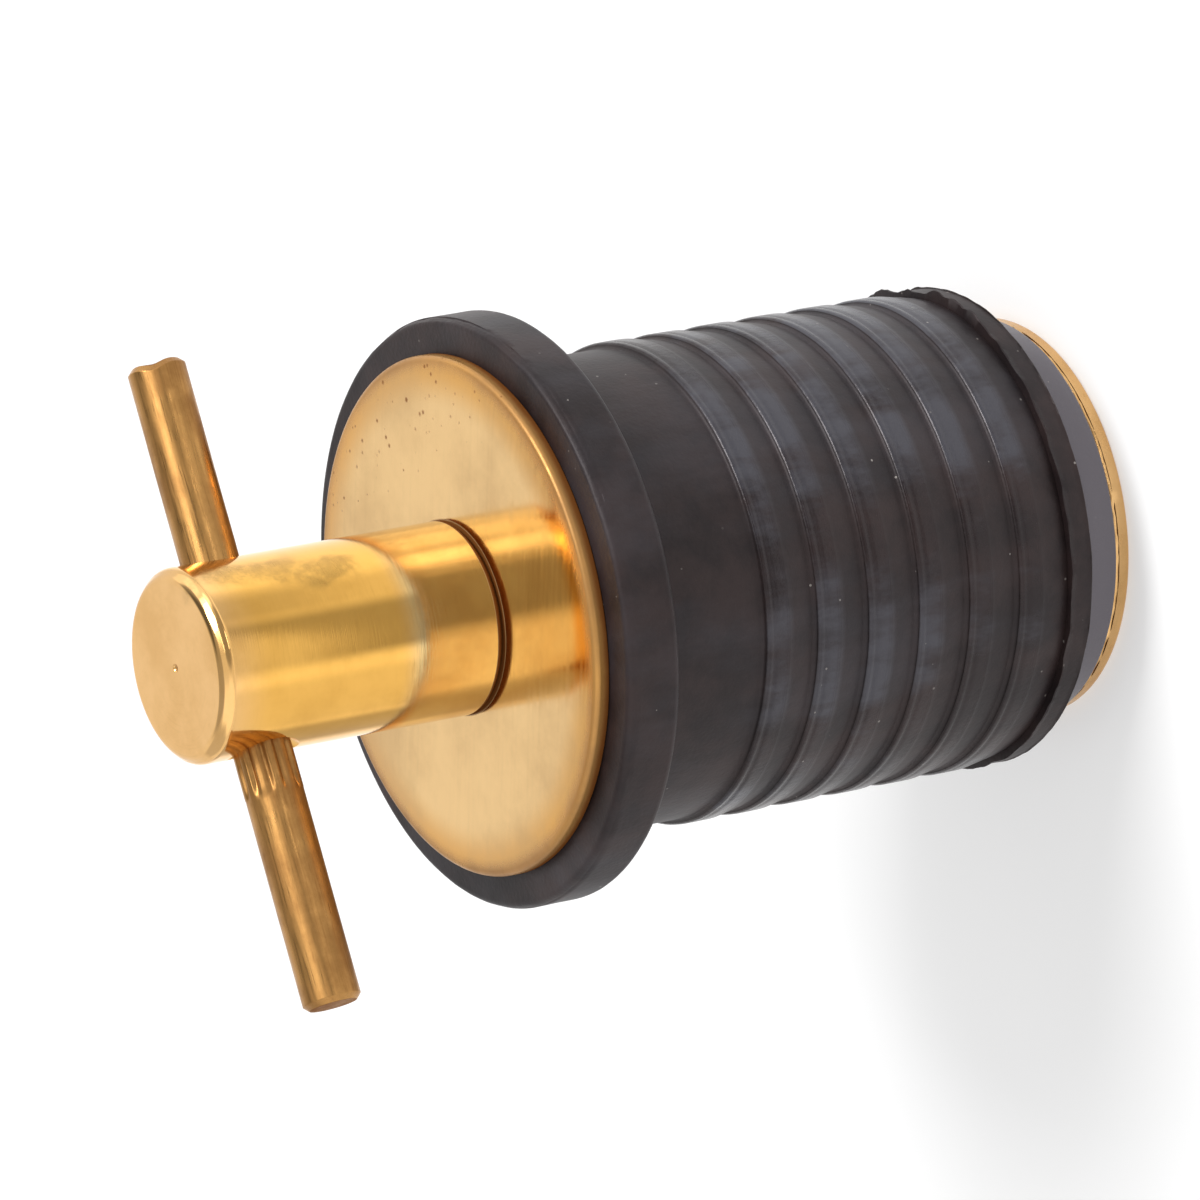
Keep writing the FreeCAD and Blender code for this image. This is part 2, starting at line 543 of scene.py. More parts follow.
def shaded_smooth(piece: bpy.types.Object, sharp_deg: float = 32.0) -> bpy.types.Object:
    """Shade a piece smooth, and keep edges sharper than an angle crisp.

    Args:
        piece: object with a plain mesh.
        sharp_deg: angle between faces from which an edge stays crisp.

    Returns:
        The same object.
    """
    work = bmesh.new()
    work.from_mesh(piece.data)
    for each in work.faces:
        each.smooth = True
    limit = math.radians(sharp_deg)
    for edge in work.edges:
        edge.smooth = len(edge.link_faces) == 2 and edge.calc_face_angle(0.0) < limit
    work.to_mesh(piece.data)
    work.free()
    return piece


def placed(piece: bpy.types.Object, move: Matrix) -> bpy.types.Object:
    """Move a piece's mesh, and leave its object at the origin."""
    piece.data.transform(move)
    return piece


def cut_by(piece: bpy.types.Object, cutter: bpy.types.Object) -> bpy.types.Object:
    """Cut one solid out of another.

    Args:
        piece: the solid that stays.
        cutter: the solid that is taken away, and then removed.

    Returns:
        The cut piece.
    """
    modifier = piece.modifiers.new("cut", "BOOLEAN")
    modifier.operation = "DIFFERENCE"
    modifier.solver = "EXACT"
    modifier.object = cutter
    flattened(piece)
    bpy.data.objects.remove(cutter)
    return piece


class ToolMarks(Enum):
    """How a brass surface was made, which sets the run of its fine lines."""

    TURNED = "rings round the plug's axis"
    DRAWN = "lines along the rod"
    BUFFED = "fine straight scratches"


class Across(Enum):
    """Which way a band of golden film is measured."""

    HEIGHT = "along the plug's axis"
    RADIUS = "out from the plug's axis"


@dataclass(frozen=True)
class GoldenBand:
    """Band of another gold, between four places in millimetres: a film left by handling on the barrel, and
    a painted darker reflection near the washer's rim.
    """

    colour: str
    across: Across
    places: Places


@dataclass(frozen=True)
class Smear:
    """Dark smear, partly old grease and partly painted dark reflection: its middle, and how far it reaches
    across and along, in millimetres.
    """

    middle: tuple[float, float, float]
    across: float
    along: float


@dataclass(frozen=True)
class BrassFinish:
    """Bare brass. The eye sees a warm mirror, clouded by a dull film and lined by its tool marks.

    A range says between which values of its noise or measure an effect grows from none to full.
    """

    name: str
    bright: str
    dull: str
    marks: ToolMarks
    roughness: float
    film: float
    film_mm: float = 6.0
    film_range: Range = (0.38, 0.68)
    streaks: float = 0.35
    streak_range: Range = (0.5, 0.8)
    line_mm: float = 0.12
    ring_pull: tuple[float, float, float] = (0.05, 0.05, 0.0)
    line_pull: tuple[float, float, float] = (0.04, 1.0, 1.0)
    buffed_turn: float = 0.6
    bump_mm: float = 0.0015
    cloud_bump: float = 3.0
    rough_range: Range = (0.75, 1.3)
    dirt_rough: float = 0.45
    # Brown of grime, which is also painted as shade in crevices where parts meet, and where it comes in.
    grime_and_crevice_shade: str = "#714420"
    grime_and_crevice_shade_range: Range = (0.1, 0.8)
    speck_from_x_mm: float = 1000.0
    speck_fade_mm: float = 8.0
    speck_mm: float = 0.65
    speck_reach: float = 0.46
    speck_edge: Range = (-0.04, 0.2)
    speck_share: float = 0.85
    # The smears are partly grease and partly painted dark reflection.
    smear: str = "#7F6738"
    smears: tuple[Smear, ...] = ()
    smear_break_mm: float = 1.6
    smear_drift_mm: float = 4.0
    smear_wave_mm: float = 3.5
    smear_fade: Range = (0.0, 0.7)
    smear_edge: Range = (0.1, 1.3)
    smear_share: float = 0.5
    bands: tuple[GoldenBand, ...] = ()

    def lines(self, nodes: MaterialTree) -> Socket:
        """Fine lines left by the tool.

        Args:
            nodes: the material's tree.

        Returns:
            A value from 0 to 1.
        """
        x, y, z = nodes.add("ShaderNodeSeparateXYZ", {0: nodes.spot}).outputs
        if self.marks is ToolMarks.TURNED:
            flat = nodes.add("ShaderNodeCombineXYZ", {"X": x, "Y": y}).outputs[0]
            rings = nodes.work(Step.ADD, nodes.work(Step.LENGTH, flat), z)
            shift = nodes.add("ShaderNodeCombineXYZ", {"X": rings, "Y": rings}).outputs[0]
            where = nodes.work(Step.SHIFT, nodes.work(Step.STRETCH, nodes.spot, self.ring_pull), shift)
        else:
            turned = nodes.add("ShaderNodeVectorRotate", {
                "Vector": nodes.spot, "Angle": 0.0 if self.marks is ToolMarks.DRAWN else self.buffed_turn,
            }, rotation_type="Z_AXIS").outputs[0]
            where = nodes.work(Step.STRETCH, turned, self.line_pull)
        return nodes.work(Step.NOISE, where, per_metre(self.line_mm), 3.0, 0.6)

    def specks(self, nodes: MaterialTree) -> Socket:
        """Small brown tarnish pits, gathered on one side of the plug.

        Args:
            nodes: the material's tree.

        Returns:
            A value from 0 to 1.
        """
        scale = per_metre(self.speck_mm)
        cells = nodes.add("ShaderNodeTexVoronoi", {"Vector": nodes.spot, "Scale": scale}).outputs
        pick = nodes.add("ShaderNodeSeparateColor", {0: cells["Color"]}).outputs[0]
        x = nodes.add("ShaderNodeSeparateXYZ", {0: nodes.spot}).outputs[0]
        start = self.speck_from_x_mm * MM
        side = nodes.work(Step.SMOOTH, x, start, start + self.speck_fade_mm * MM)
        size = nodes.work(Step.SUBTRACT, nodes.work(Step.MULTIPLY, pick, side), 0.25)
        reach = nodes.work(Step.MULTIPLY, size, self.speck_reach)
        inside = nodes.work(Step.SUBTRACT, reach, cells["Distance"])
        dot = nodes.work(Step.SMOOTH, inside, *self.speck_edge)
        return nodes.work(Step.MULTIPLY, dot, self.speck_share)

    def banded(self, nodes: MaterialTree) -> Socket | Colour:
        """Clean metal, of another gold inside each band.

        Args:
            nodes: the material's tree.

        Returns:
            The colour, as a socket where there is a band.
        """
        colour = linear(self.bright)
        height = nodes.add("ShaderNodeSeparateXYZ", {0: nodes.spot}).outputs["Z"]
        radius = nodes.work(Step.LENGTH, nodes.work(Step.STRETCH, nodes.spot, (1.0, 1.0, 0.0)))
        for band in self.bands:
            way = height if band.across is Across.HEIGHT else radius
            share = nodes.between(way, *(place * MM for place in band.places))
            colour = nodes.work(Step.MIX, share, colour, linear(band.colour))
        return colour

    def smeared(self, nodes: MaterialTree) -> Socket | float:
        """Dark smears, partly old grease and partly painted dark reflection, drawn out along Z, with
        wandering and broken edges.

        Args:
            nodes: the material's tree.

        Returns:
            A value from 0 to 1, as a socket where there is a smear.
        """
        breaks = nodes.work(Step.NOISE, nodes.spot, per_metre(self.smear_break_mm), 8.0, 0.7)
        ragged = nodes.work(Step.MULTIPLY, nodes.work(Step.SUBTRACT, breaks, 0.5), 3.0)
        wander = nodes.work(Step.NOISE_WAYS, nodes.spot, per_metre(self.smear_wave_mm), 2.0)
        wander = nodes.work(Step.AWAY, wander, (0.5, 0.5, 0.5))
        drift = nodes.work(Step.STRETCH_SHIFT, wander, (self.smear_drift_mm * MM,) * 3, nodes.spot)
        total = 0.0
        for smear in self.smears:
            away = nodes.work(Step.AWAY, drift, tuple(place * MM for place in smear.middle))
            scales = (per_metre(smear.across), per_metre(smear.across), per_metre(smear.along))
            away = nodes.work(Step.LENGTH, nodes.work(Step.STRETCH, away, scales))
            near = nodes.work(Step.SMOOTH, nodes.work(Step.SUBTRACT, 1.0, away), *self.smear_fade)
            faded = nodes.work(Step.MULTIPLY, near, nodes.work(Step.ADD, ragged, 1.0))
            edge = nodes.work(Step.SMOOTH, faded, *self.smear_edge)
            total = nodes.work(Step.MAXIMUM, total, edge)
        return total

    def build(self) -> bpy.types.Material:
        """Make the material.

        Returns:
            The finished material.
        """
        nodes = MaterialTree(self.name)
        lines = self.lines(nodes)
        cloud = nodes.work(Step.NOISE, nodes.spot, per_metre(self.film_mm), 7.0, 0.62)
        patch = nodes.work(Step.SMOOTH, cloud, *self.film_range, 0.0, self.film)
        streak = nodes.work(Step.SMOOTH, lines, *self.streak_range, 0.0, self.film * self.streaks)
        film = nodes.work(Step.ADD, patch, streak, use_clamp=True)
        clean = nodes.work(Step.MIX, film, self.banded(nodes), linear(self.dull))
        smears = self.smeared(nodes)
        # Smears darken the metal, partly as grease and partly as painted dark reflection.
        grease_and_dark_reflection = nodes.work(Step.MULTIPLY, smears, self.smear_share)
        metal = nodes.work(Step.MIX, grease_and_dark_reflection, clean, linear(self.smear))
        # The tone paints shade in crevices where parts meet, and marks grime and tarnish elsewhere.
        tone = nodes.add("ShaderNodeAttribute", attribute_name="tone").outputs["Fac"]
        wear_grime_and_painted_light = nodes.work(Step.MULTIPLY, nodes.work(Step.ADD, cloud, 0.5), tone)
        crevice_shade_and_grime = nodes.work(Step.SMOOTH, wear_grime_and_painted_light, *self.grime_and_crevice_shade_range)
        dark = nodes.work(Step.MAXIMUM, crevice_shade_and_grime, self.specks(nodes))
        colour = nodes.work(Step.MIX, dark, metal, linear(self.grime_and_crevice_shade))
        low, high = self.roughness * 0.7, self.roughness * 1.6
        rough = nodes.work(Step.SMOOTH, nodes.work(Step.ADD, lines, cloud), *self.rough_range, low, high)
        soiled = nodes.work(Step.ADD, dark, nodes.work(Step.MULTIPLY, smears, 0.4))
        dirty = nodes.work(Step.ADD, rough, nodes.work(Step.MULTIPLY, soiled, self.dirt_rough))
        swell = nodes.work(Step.ADD, lines, nodes.work(Step.MULTIPLY, cloud, self.cloud_bump))
        bump = nodes.add("ShaderNodeBump", {"Height": swell, "Distance": self.bump_mm * MM})
        # Grime and painted crevice shade are no metal, and have no shine of their own.
        bare = nodes.work(Step.SUBTRACT, 1.0, dark)
        return nodes.finished("ShaderNodeBsdfPrincipled", {
            "Base Color": colour,
            "Metallic": bare,
            "Roughness": dirty,
            "Normal": bump.outputs[0],
            "Specular IOR Level": nodes.work(Step.MULTIPLY, bare, 0.5),
        })


@dataclass(frozen=True)
class RubberFinish:
    """Moulded black rubber. Rubbed lands turn bluish grey, partly from wear and partly as painted sheen,
    the tail is painted pale as a reflection, and dust sits on the dull skin.
    """

    name: str = "moulded_black_rubber"
    body: str = "#171011"
    warm: str = "#2A1F1E"
    warm_mm: float = 5.0
    warm_range: Range = (0.35, 0.65)
    # Bluish grey of rubbed lands: partly wear, partly painted sheen.
    wear_and_sheen: str = "#3F3F45"
    wear_and_sheen_mm: float = 11.0
    wear_and_sheen_range: Range = (0.44, 0.66)
    wear_and_sheen_pull: tuple[float, float, float] = (1.0, 1.0, 0.35)
    wear_and_sheen_elsewhere: float = 0.3
    # Pale grey of the tail: painted reflection.
    painted_tail_reflection: str = "#625E64"
    painted_tail_reflection_range: Range = (1.2, 2.0)
    dust: str = "#A9A39D"
    dust_mm: float = 1.2
    dust_reach: float = 0.07
    dust_rarity: float = 0.6
    dust_share: float = 0.6
    grain_mm: float = 0.3
    bump_mm: float = 0.03
    bump_share: float = 0.7
    roughness: float = 0.4
    shine: float = 0.33
    shine_tint: str = "#FFF6F7"

    def build(self) -> bpy.types.Material:
        """Make the material.

        Returns:
            The finished material.
        """
        nodes = MaterialTree(self.name)
        cloud = nodes.work(Step.NOISE, nodes.spot, per_metre(self.warm_mm), 6.0, 0.6)
        warmed = nodes.work(Step.SMOOTH, cloud, *self.warm_range)
        body = nodes.work(Step.MIX, warmed, linear(self.body), linear(self.warm))
        tone = nodes.add("ShaderNodeAttribute", attribute_name="tone").outputs["Fac"]
        land = nodes.work(Step.MINIMUM, tone, 1.0)
        drawn = nodes.work(Step.STRETCH, nodes.spot, self.wear_and_sheen_pull)
        smear = nodes.work(Step.NOISE, drawn, per_metre(self.wear_and_sheen_mm), 9.0, 0.65)
        smeared = nodes.work(Step.SMOOTH, smear, *self.wear_and_sheen_range)
        # Rubbed lands turn bluish grey: partly wear, partly painted sheen.
        wear_and_sheen = nodes.work(Step.MULTIPLY, smeared, nodes.work(Step.ADD, land, self.wear_and_sheen_elsewhere))
        wear_grime_and_painted_light = nodes.work(Step.MIX, wear_and_sheen, body, linear(self.wear_and_sheen))
        # The tail is painted pale as a reflection.
        tail_reflection_share = nodes.work(Step.SMOOTH, tone, *self.painted_tail_reflection_range)
        skin = nodes.work(Step.MIX, tail_reflection_share, wear_grime_and_painted_light, linear(self.painted_tail_reflection))
        scale = per_metre(self.dust_mm)
        cells = nodes.add("ShaderNodeTexVoronoi", {"Vector": nodes.spot, "Scale": scale}).outputs
        near = nodes.work(Step.LESS_THAN, cells["Distance"], self.dust_reach)
        pick = nodes.add("ShaderNodeSeparateColor", {0: cells["Color"]}).outputs
        some = nodes.work(Step.GREATER_THAN, pick[0], self.dust_rarity)
        faint = nodes.work(Step.MULTIPLY, pick[1], self.dust_share)
        speck = nodes.work(Step.MULTIPLY, nodes.work(Step.MULTIPLY, near, some), faint)
        colour = nodes.work(Step.MIX, speck, skin, linear(self.dust))
        grain = nodes.work(Step.NOISE, nodes.spot, per_metre(self.grain_mm), 4.0)
        bump = nodes.add("ShaderNodeBump", {
            "Height": nodes.work(Step.ADD, grain, nodes.work(Step.MULTIPLY, cloud, 2.0)),
            "Distance": self.bump_mm * MM,
            "Strength": self.bump_share,
        })
        dull, rubbed_dull = self.roughness * 1.2, self.roughness * 0.6
        return nodes.finished("ShaderNodeBsdfPrincipled", {
            "Base Color": colour,
            "Roughness": nodes.work(Step.SMOOTH, land, 0.0, 1.0, dull, rubbed_dull),
            "Normal": bump.outputs[0],
            "Specular IOR Level": self.shine,
            "Specular Tint": linear(self.shine_tint),
        })


@dataclass(frozen=True)
class PlugSizes:
    """Sizes that the pieces share, in millimetres."""

    stud_d: float = 6.35
    stud_pitch: float = 1.27
    stud_engaged_l: float = 7.2
    rivet_d: float = 8.6
    rivet_t: float = 0.7
    rivet_groove: float = 0.13
    rivet_groove_t: float = 0.08
    plate_d: float = 26.6
    plate_t: float = 1.2
    tail_l: float = 3.6
    tail_overhang: float = 0.2
    tail_taper: float = 0.3
    crest_d: float = 31.8
    rib_count: int = 7
    rib_pitch: float = 3.9
    rib_land: float = 1.7
    rib_depth: float = 0.4
    neck_l: float = 8.7
    flange_d: float = 38.62
    flange_t: float = 3.9
    washer_d: float = 34.0
    washer_t: float = 1.2
    barrel_d: float = 12.7
    barrel_l: float = 20.6
    pin_d: float = 3.8
    pin_l: float = 42.8
    pin_offset: float = -1.75
    pin_from_top: float = 4.45
    travel: float = 3.81

    @property
    def last_rib_z(self) -> float:
        """Height of the lowest rib's lower edge."""
        return self.plate_t + self.tail_l

    @property
    def neck_z(self) -> float:
        """Height of the top rib's step, where the neck begins."""
        return self.last_rib_z + self.rib_land + (self.rib_count - 1) * self.rib_pitch

    @property
    def flange_z(self) -> float:
        """Height of the flange's lower face."""
        return self.neck_z + self.neck_l

    @property
    def washer_z(self) -> float:
        """Height of the washer's lower face."""
        return self.flange_z + self.flange_t

    @property
    def barrel_z(self) -> float:
        """Height of the barrel's base."""
        return self.washer_z + self.washer_t

    @property
    def top_z(self) -> float:
        """Height of the barrel's free end."""
        return self.barrel_z + self.barrel_l

    @property
    def stud_top_z(self) -> float:
        """Height of the stud's tip."""
        return self.barrel_z + self.stud_engaged_l



@dataclass(frozen=True)
class Bung:
    """The rubber moulding: tail, sawtooth ribs, neck and flange."""

    sizes: PlugSizes
    material: bpy.types.Material
    bore_clearance: float = 0.15
    edge: float = 0.28
    root_edge: float = 0.3
    lip_fall: float = 0.05
    lip_run: float = 0.13
    tail_edge: float = 0.2
    tail_rib_edge: float = 0.15
    first_rib_edge: float = 0.1
    land_edge: float = 0.25
    neck_edge: float = 0.6
    flange_edge: float = 0.5
    bead_back: float = 0.5
    bead_half_w: float = 0.14
    bead_depth: float = 0.06
    flash_w: float = 0.2
    # Width and fade of the rubbed band on each land, which is also painted with sheen.
    wear_and_sheen_w: float = 2.1
    wear_and_sheen_fade: float = 0.7
    near: float = 0.01
    max_step: float = 0.42
    segments: int = 288

    def corners(self) -> list[Corner]:
        """Corners of the moulding's outline from the bore at the tail round to the flange.

        Returns:
            Radius, height and rounding of each corner.
        """
        s = self.sizes
        bore = s.stud_d / 2 + self.bore_clearance
        crest = s.crest_d / 2
        root = crest - s.rib_depth
        tail = s.plate_d / 2 + s.tail_overhang
        made = [
            (bore, s.plate_t, 0.0),
            (tail, s.plate_t, self.tail_edge),
            (tail + s.tail_taper, s.last_rib_z, self.tail_rib_edge),
        ]
        for index in range(s.rib_count):
            step = s.last_rib_z + s.rib_land + index * s.rib_pitch
            bead = step - self.bead_back
            # The lowest rib has a sharp step, on which the flash stands.
            made += [
                (crest, s.last_rib_z, self.first_rib_edge),
                (crest, step - self.flash_w, 0.0),
                (crest, step - self.flash_w / 2, 0.0),
                (crest, step, 0.0),
                (root, step, 0.0),
            ] if index == 0 else [
                (crest, step - s.rib_land, self.land_edge),
                (crest, bead - self.bead_half_w, 0.0),
                (crest - self.bead_depth, bead, 0.0),
                (crest, bead + self.bead_half_w, 0.0),
                (crest, step - self.lip_fall, self.edge),
                (root, step + self.lip_run, self.root_edge),
            ]
        flange = s.flange_d / 2
        made += [
            (root, s.flange_z, self.neck_edge),
            (flange, s.flange_z, self.flange_edge),
            (flange, s.washer_z, self.flange_edge),
            (bore, s.washer_z, 0.0),
            (bore, s.plate_t, 0.0),
        ]
        return made

    def build(self) -> bpy.types.Object:
        """Make the moulding.

        Returns:
            The bung's piece.
        """
        s = self.sizes
        # The wall of the bore can't be seen, so it is left undivided between its ends.
        ends = (s.plate_t, s.washer_z)
        wall = s.stud_d / 2 + self.bore_clearance + self.near
        points = rounded_outline(self.corners(), self.max_step)
        points = [point for point in points if point[0] > wall or point[1] in ends]
        weights = [self.flash_weight(r, z) for r, z in points]
        tones = [self.land_tone(r, z) for r, z in points]
        body = TurnedBody(
            "rubber_bung_moulding",
            Outline(points, weights, tones),
            self.material,
            UnevenTree(),
            self.segments,
            values={
                "Skin Depth": 0.06 * MM,
                "Skin Size": 5.0,
                "Flash Height": 0.8 * MM,
                "Flash Size": 7.0,
                "Flash Lean": 1.0,
            },
        )
        return shaded_smooth(body.build(), 60.0)

    def land_tone(self, radius: float, height: float) -> float:
        """Tone of a point of the outline.

        Args:
            radius: the point's radius.
            height: the point's height.

        Returns:
            2 on the tail, painted pale as a reflection, up to 1 on a rib's land, rubbed and painted with
            sheen, below 0 on the lowest land, and 0 elsewhere.
        """
        s = self.sizes
        crest = s.crest_d / 2
        # The tail gets the painted reflection's tone.
        if height < s.last_rib_z - 0.1 or (radius < crest - 0.5 and height < s.last_rib_z + 0.02):
            return 2.0
        index = math.floor((height - s.last_rib_z - s.rib_land - self.near) / s.rib_pitch) + 1
        if radius > crest + 0.1 or index >= s.rib_count:
            return 0.0
        below = s.last_rib_z + s.rib_land + index * s.rib_pitch - height
        share = min(1.0, max(0.0, (self.wear_and_sheen_w - below) / self.wear_and_sheen_fade))
        return -0.25 if index == 0 else share

    def flash_weight(self, radius: float, height: float) -> float:
        """Weight of the torn flash at a point of the outline.

        Args:
            radius: the point's radius.
            height: the point's height.

        Returns:
            Most on the lowest rib's step, a little at its foot and on the flange's edge, else 0.
        """
        s = self.sizes
        crest = s.crest_d / 2
        step = s.last_rib_z + s.rib_land
        if abs(height - step + self.flash_w / 2) < self.near:
            return 1.0
        if abs(height - step) < self.near and radius > crest - self.near:
            return 0.9
        if radius > crest - 0.15 and abs(height - s.last_rib_z) < 0.12:
            return 0.25
        return -0.2 if radius > s.flange_d / 2 - 0.2 and height > s.washer_z - 0.5 else 0.0


@dataclass(frozen=True)
class FrontWasher:
    """Stamped and buffed disc under the handle."""

    sizes: PlugSizes
    material: bpy.types.Material
    clearance: float = 0.1
    front_edge: float = 0.4
    rear_edge: float = 0.12
    roll_w: float = 2.2
    roll_drop: float = 0.15
    roll_radius: float = 18.0
    # How far the painted crevice shade reaches out from and in under the barrel's foot.
    crevice_shade_out: float = 0.15
    crevice_shade_in: float = 0.1

    def build(self) -> bpy.types.Object:
        """Make the washer.

        Returns:
            The washer's piece.
        """
        s = self.sizes
        hole = s.stud_d / 2 + self.clearance
        outer = s.washer_d / 2
        foot = s.barrel_d / 2
        points = rounded_outline([
            (hole, s.washer_z, 0.0),
            (outer, s.washer_z, self.rear_edge),
            (outer, s.barrel_z - self.roll_drop, self.front_edge),
            (outer - self.roll_w, s.barrel_z, self.roll_radius),
            (foot + self.crevice_shade_out, s.barrel_z, 0.0),
            (foot - self.crevice_shade_in, s.barrel_z, 0.0),
            (hole, s.barrel_z, 0.0),
            (hole, s.washer_z, 0.0),
        ])
        tones = [self.tone(r, z) for r, z in points]
        body = TurnedBody("front_washer_disc", Outline(points, (), tones), self.material)
        return shaded_smooth(body.build())

    def tone(self, radius: float, height: float) -> float:
        """How dark a point of the outline is made.

        Args:
            radius: the point's radius.
            height: the point's height.

        Returns:
            Most under the barrel, as painted shade in the crevice at its foot, and low on the rim, as
            painted shade against the flange; less on the rest of the rim, else 0.
        """
        s = self.sizes
        # Painted shade where the barrel and the flange meet the washer; the rim is browned a little.
        if radius < s.barrel_d / 2:
            return 1.0
        if height < s.washer_z + 0.35:
            return 0.8
        return 0.44 if radius > s.washer_d / 2 - 0.8 else 0.0


@dataclass(frozen=True)
class RearPlate:
    """Stamped disc on the inboard end, countersunk for the riveted stud."""

    sizes: PlugSizes
    material: bpy.types.Material
    edge: float = 0.3
    inset: float = 0.02
    burr: float = 0.14
    burr_w: float = 0.1
    joint_w: float = 0.1
    joint_end: float = 0.4

    def build(self) -> bpy.types.Object:
        """Make the plate.

        Returns:
            The plate's piece.
        """
        s = self.sizes
        outer = s.plate_d / 2
        rivet = s.rivet_d / 2
        points = rounded_outline([
            (rivet + self.joint_w, 0.0, 0.0),
            (rivet + self.joint_end, 0.0, 0.0),
            (outer - self.inset, 0.0, self.edge),
            (outer - self.inset, s.plate_t, self.edge),
            (s.stud_d / 2, s.plate_t, 0.0),
            (s.stud_d / 2, s.rivet_t, 0.0),
            (rivet - s.rivet_groove, s.rivet_groove_t, 0.0),
            (rivet + self.joint_w, 0.0, 0.0),
        ])
        top = s.plate_t - self.edge
        rim = outer - self.edge - self.burr_w
        weights = [-1.0 if z > top and r > rim else 0.0 for r, z in points]
        low, joint = s.rivet_groove_t + 0.01, rivet + 0.2
        tones = [1.0 if z < low and r < joint else 0.0 for r, z in points]
        body = TurnedBody(
            "rear_plate_disc",
            Outline(points, weights, tones),
            self.material,
            UnevenTree(),
            values={
                "Skin Depth": 0.03 * MM,
                "Skin Size": 4.0,
                "Flash Height": self.burr * MM,
                "Flash Size": 14.0,
                "Flash Lean": 0.0,
            },
        )
        return shaded_smooth(body.build())


@dataclass(frozen=True)
class Stud:
    """Stud riveted into the plate, threaded where the barrel screws on."""

    sizes: PlugSizes
    material: bpy.types.Material
    thread_depth: float = 0.62
    tip_chamfer: float = 0.6
    thread_run: float = 14.0
    row_step: float = 0.127
    flat_end: float = 0.2
    segments: int = 96

    def build(self) -> bpy.types.Object:
        """Make the stud.

        Returns:
            The stud's piece.
        """
        s = self.sizes
        shank = s.stud_d / 2
        top = s.stud_top_z
        start = top - self.thread_run
        rows = round(self.thread_run / self.row_step)
        rivet = s.rivet_d / 2
        points = [
            (0.0, 0.0),
            (rivet - self.flat_end, 0.0),
            (rivet - s.rivet_groove, s.rivet_groove_t),
            (shank, s.rivet_t),
            (shank, start - 0.01),
        ]
        weights = [0.0] * len(points)
        for row in range(rows + 1):
            height = start + self.thread_run * row / rows
            points.append((min(shank, shank - self.tip_chamfer + (top - height)), height))
            fade_in = min(1.0, (height - start) / s.stud_pitch)
            fade_out = min(1.0, (top - height) / self.tip_chamfer)
            weights.append(min(fade_in, fade_out))
        points.append((0.0, top))
        weights.append(0.0)
        body = TurnedBody(
            "threaded_stud_rod",
            Outline(points, weights),
            self.material,
            ThreadedTree(),
            self.segments,
            values={"Pitch": s.stud_pitch * MM, "Thread Depth": self.thread_depth * MM},
        )
        return shaded_smooth(body.build())


@dataclass(frozen=True)
class HandleBarrel:
    """Turned barrel with a blind bore, a centre mark and a flared cross hole."""

    sizes: PlugSizes
    material: bpy.types.Material
    top_chamfer: float = 0.6
    base_chamfer: float = 0.4
    base_band: float = 0.2
    soft: float = 0.12
    top_soft: float = 0.65
    bore_clearance: float = 0.05
    drill_point_deg: float = 118.0
    hole_clearance: float = 0.03
    hole_flare: float = 0.55
    hole_soft: float = 0.25
    past: float = 1.0
    mark_d: float = 0.6
    mark_depth: float = 0.3
    mark_soft: float = 0.06
    end_gap: float = 0.6
    max_step: float = 0.45
    hole_step: float = 0.5
    segments: int = 224
    hole_segments: int = 96

    def outline(self) -> Outline:
        """Outline of the barrel from the end of its bore round to its centre mark.

        Returns:
            The outline, darkened at the foot as painted shade against the washer, and in the centre mark.
        """
        s = self.sizes
        outer = s.barrel_d / 2
        bore = s.stud_d / 2 + self.bore_clearance
        end = s.stud_top_z + s.travel + self.end_gap
        foot = s.barrel_z + self.base_chamfer
        points = rounded_outline([
            (0.0, end + bore / math.tan(math.radians(self.drill_point_deg / 2)), 0.0),
            (bore, end, 0.0),
            (bore, foot, 0.0),
            (bore + self.base_chamfer, s.barrel_z, 0.0),
            (outer - self.base_chamfer, s.barrel_z, 0.0),
            (outer, foot, self.soft),
            (outer, foot + self.base_band, 0.0),
            (outer, s.top_z - self.top_chamfer, self.top_soft),
            (outer - self.top_chamfer, s.top_z, self.top_soft),
            (self.mark_d / 2, s.top_z, self.mark_soft),
            (0.0, s.top_z - self.mark_depth, 0.0),
        ], self.max_step)
        # Painted shade at the foot, where the barrel meets the washer; the centre mark is darkened too.
        tones = [1.0 if z < foot + 0.1 or (z > s.top_z - 0.5 and r < 0.25) else 0.0 for r, z in points]
        return Outline(points, (), tones)

    def build(self) -> bpy.types.Object:
        """Make the barrel and bore its cross hole.

        Returns:
            The barrel's piece.
        """
        s = self.sizes
        barrel = TurnedBody("handle_barrel_turned", self.outline(), self.material, segments=self.segments)
        hole = s.pin_d / 2 + self.hole_clearance
        edge = s.barrel_d / 2 - self.hole_flare
        wide, far = hole + self.hole_flare + self.past, s.barrel_d / 2 + self.past
        points = rounded_outline([
            (0.0, -far, 0.0),
            (wide, -far, 0.0),
            (hole, -edge, self.hole_soft),
            (hole, edge, self.hole_soft),
            (wide, far, 0.0),
            (0.0, far, 0.0),
        ], self.hole_step)
        cutter = TurnedBody("cross_hole", Outline(points), self.material, segments=self.hole_segments)
        move = Matrix.Translation((0, 0, (s.top_z - s.pin_from_top) * MM))
        tool = placed(cutter.build(), move @ Matrix.Rotation(math.pi / 2, 4, "Y"))
        return shaded_smooth(cut_by(barrel.build(), tool))


